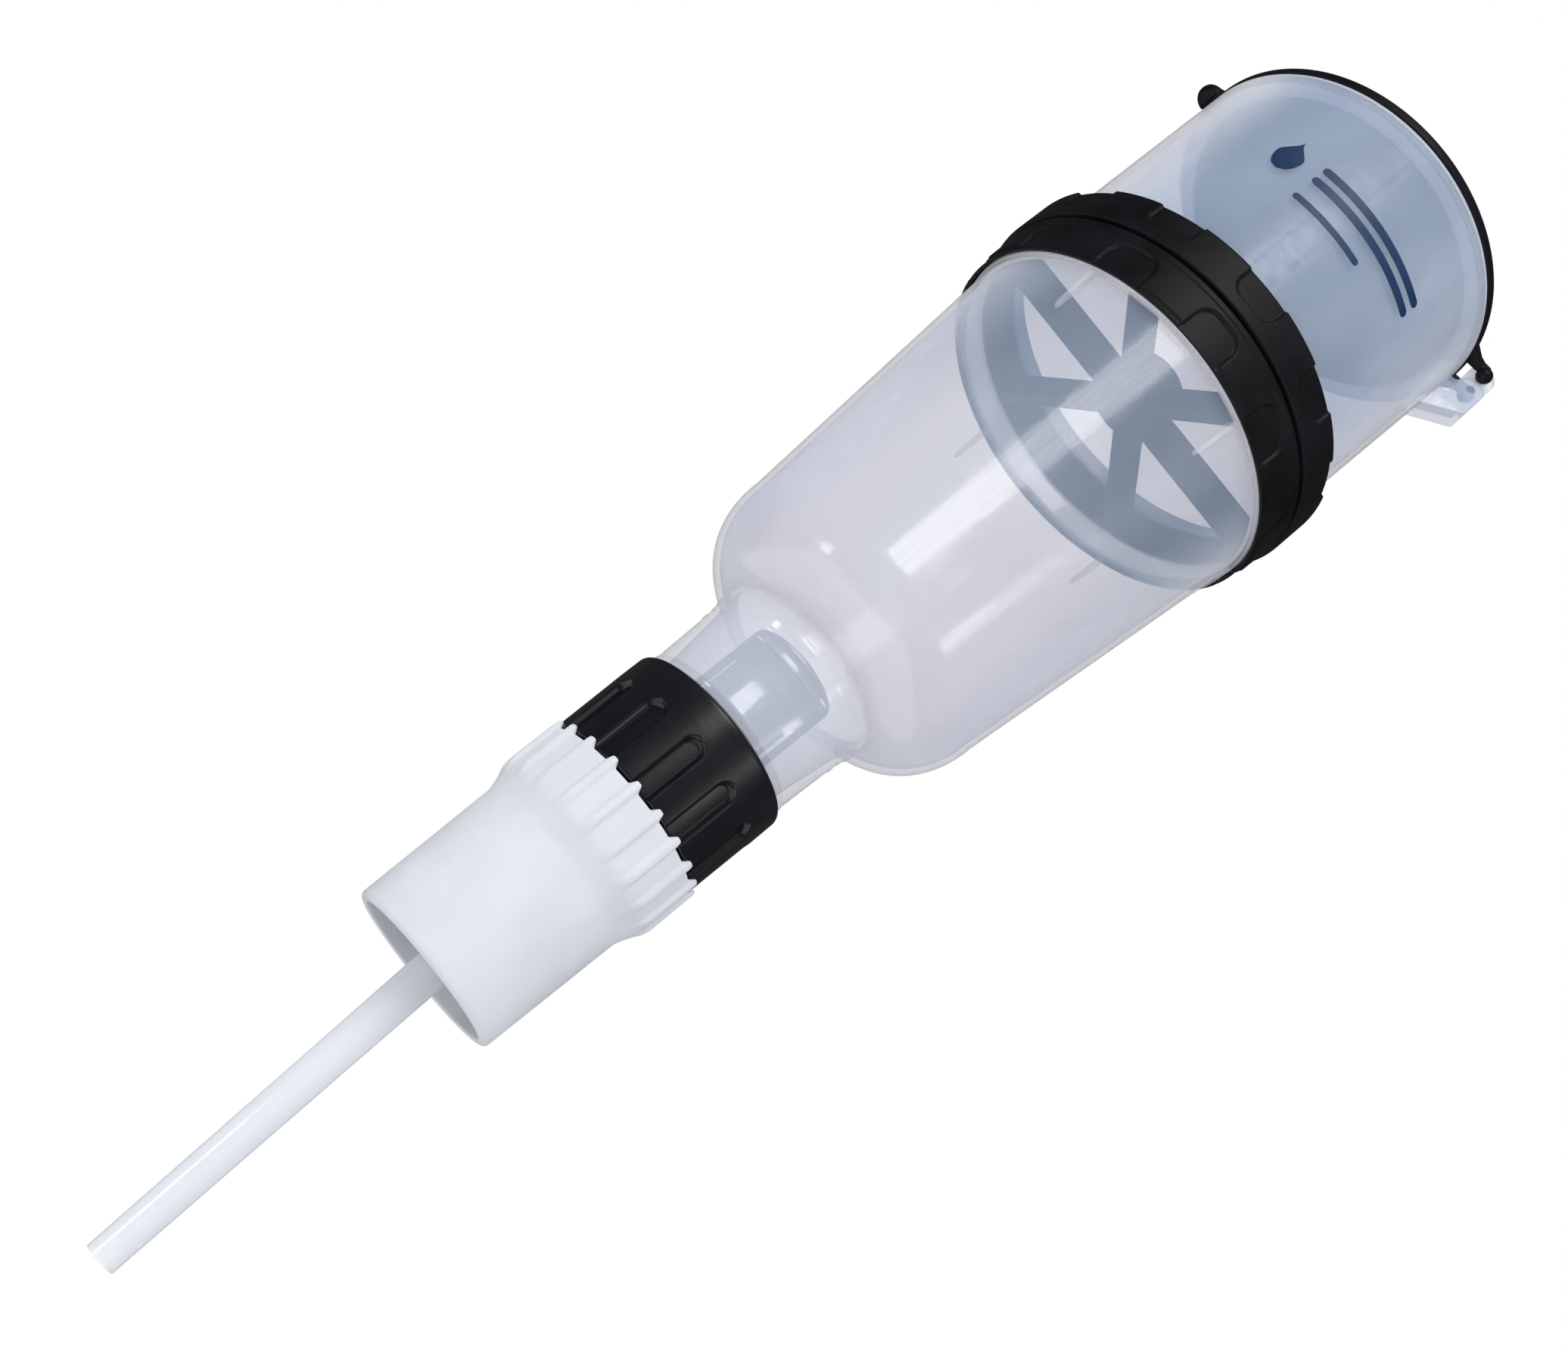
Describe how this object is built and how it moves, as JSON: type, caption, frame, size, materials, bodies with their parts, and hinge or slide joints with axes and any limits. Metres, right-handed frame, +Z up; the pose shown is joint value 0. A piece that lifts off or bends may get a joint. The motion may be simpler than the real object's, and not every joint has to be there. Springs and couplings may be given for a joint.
{
  "type": "fluid filling funnel",
  "caption": "Translucent two-piece filling funnel with hinged black lid, screw coupling with spoked grid, twist valve in the neck and a tank adapter with spout.",
  "frame": {"origin": "centre of the adapter's lower end plane, on the funnel's axis, where the tank's filler neck enters", "axes": "+Z up the funnel's axis towards the lid, +X towards the lid's hinge"},
  "size_m": [0.1448, 0.1366, 0.5082],
  "materials": {
    "clear_body": "milky translucent, smooth",
    "spout_clear": "milky, satin",
    "black_plastic": "satin black",
    "nut_black": "satin black",
    "white_plastic": "satin white",
    "rubber_black": "matt",
    "seal_clear": "milky silicone",
    "spring_steel": "drawn wire"
  },
  "bodies": {
    "adapter": {"adapter_socket": "white_plastic", "spout_tube": "spout_clear", "spout_clamp": "white_plastic", "tank_gasket": "rubber_black", "cam_ring": "white_plastic"},
    "bottle": {"neck_nut": "nut_black", "retaining_ring": "spring_steel", "adapter_seal": "rubber_black", "valve_body": "black_plastic", "neck_gasket": "rubber_black", "valve_cage": "black_plastic", "spring_cup": "white_plastic", "valve_spring": "spring_steel", "lower_vessel": "clear_body", "lower_collar": "black_plastic", "spoked_grid": "black_plastic"},
    "valve": {"valve_poppet": "black_plastic", "poppet_seal": "rubber_black", "lift_rod": "black_plastic"},
    "coupling_ring": {"coupling_gasket": "rubber_black"},
    "upper": {"upper_collar": "black_plastic", "upper_vessel": "clear_body"},
    "lid": {"lid": "black_plastic", "lid_seal": "seal_clear"}
  },
  "joints": [
    {"name": "valve_turn", "type": "hinge", "parent": "adapter", "child": "bottle", "pos_m": [0, 0, 0], "axis": [0, 0, 1], "range_deg": [0, 90]},
    {"name": "poppet_lift", "type": "slide", "parent": "bottle", "child": "valve", "axis": [0, 0, 1], "range_m": [0, 0.003], "stiffness_N_per_m": 400, "springref_m": -0.005, "deforming": ["valve_spring"]},
    {"name": "coupling_lift", "type": "slide", "parent": "bottle", "child": "coupling_ring", "axis": [0, 0, 1], "range_m": [0, 0.006]},
    {"name": "coupling_turn", "type": "hinge", "parent": "coupling_ring", "child": "upper", "pos_m": [0, 0, 0.302], "axis": [0, 0, 1], "range_deg": [0, 360]},
    {"name": "lid_hinge", "type": "hinge", "parent": "upper", "child": "lid", "pos_m": [0.0716, 0, 0.3976], "axis": [0, 1, 0], "range_deg": [0, 200]}
  ],
  "couplings": [
    {"joint": "poppet_lift", "follows": "valve_turn", "m_per_rad": 0.0019098},
    {"joint": "coupling_lift", "follows": "coupling_turn", "m_per_rad": 0.00095492}
  ]
}
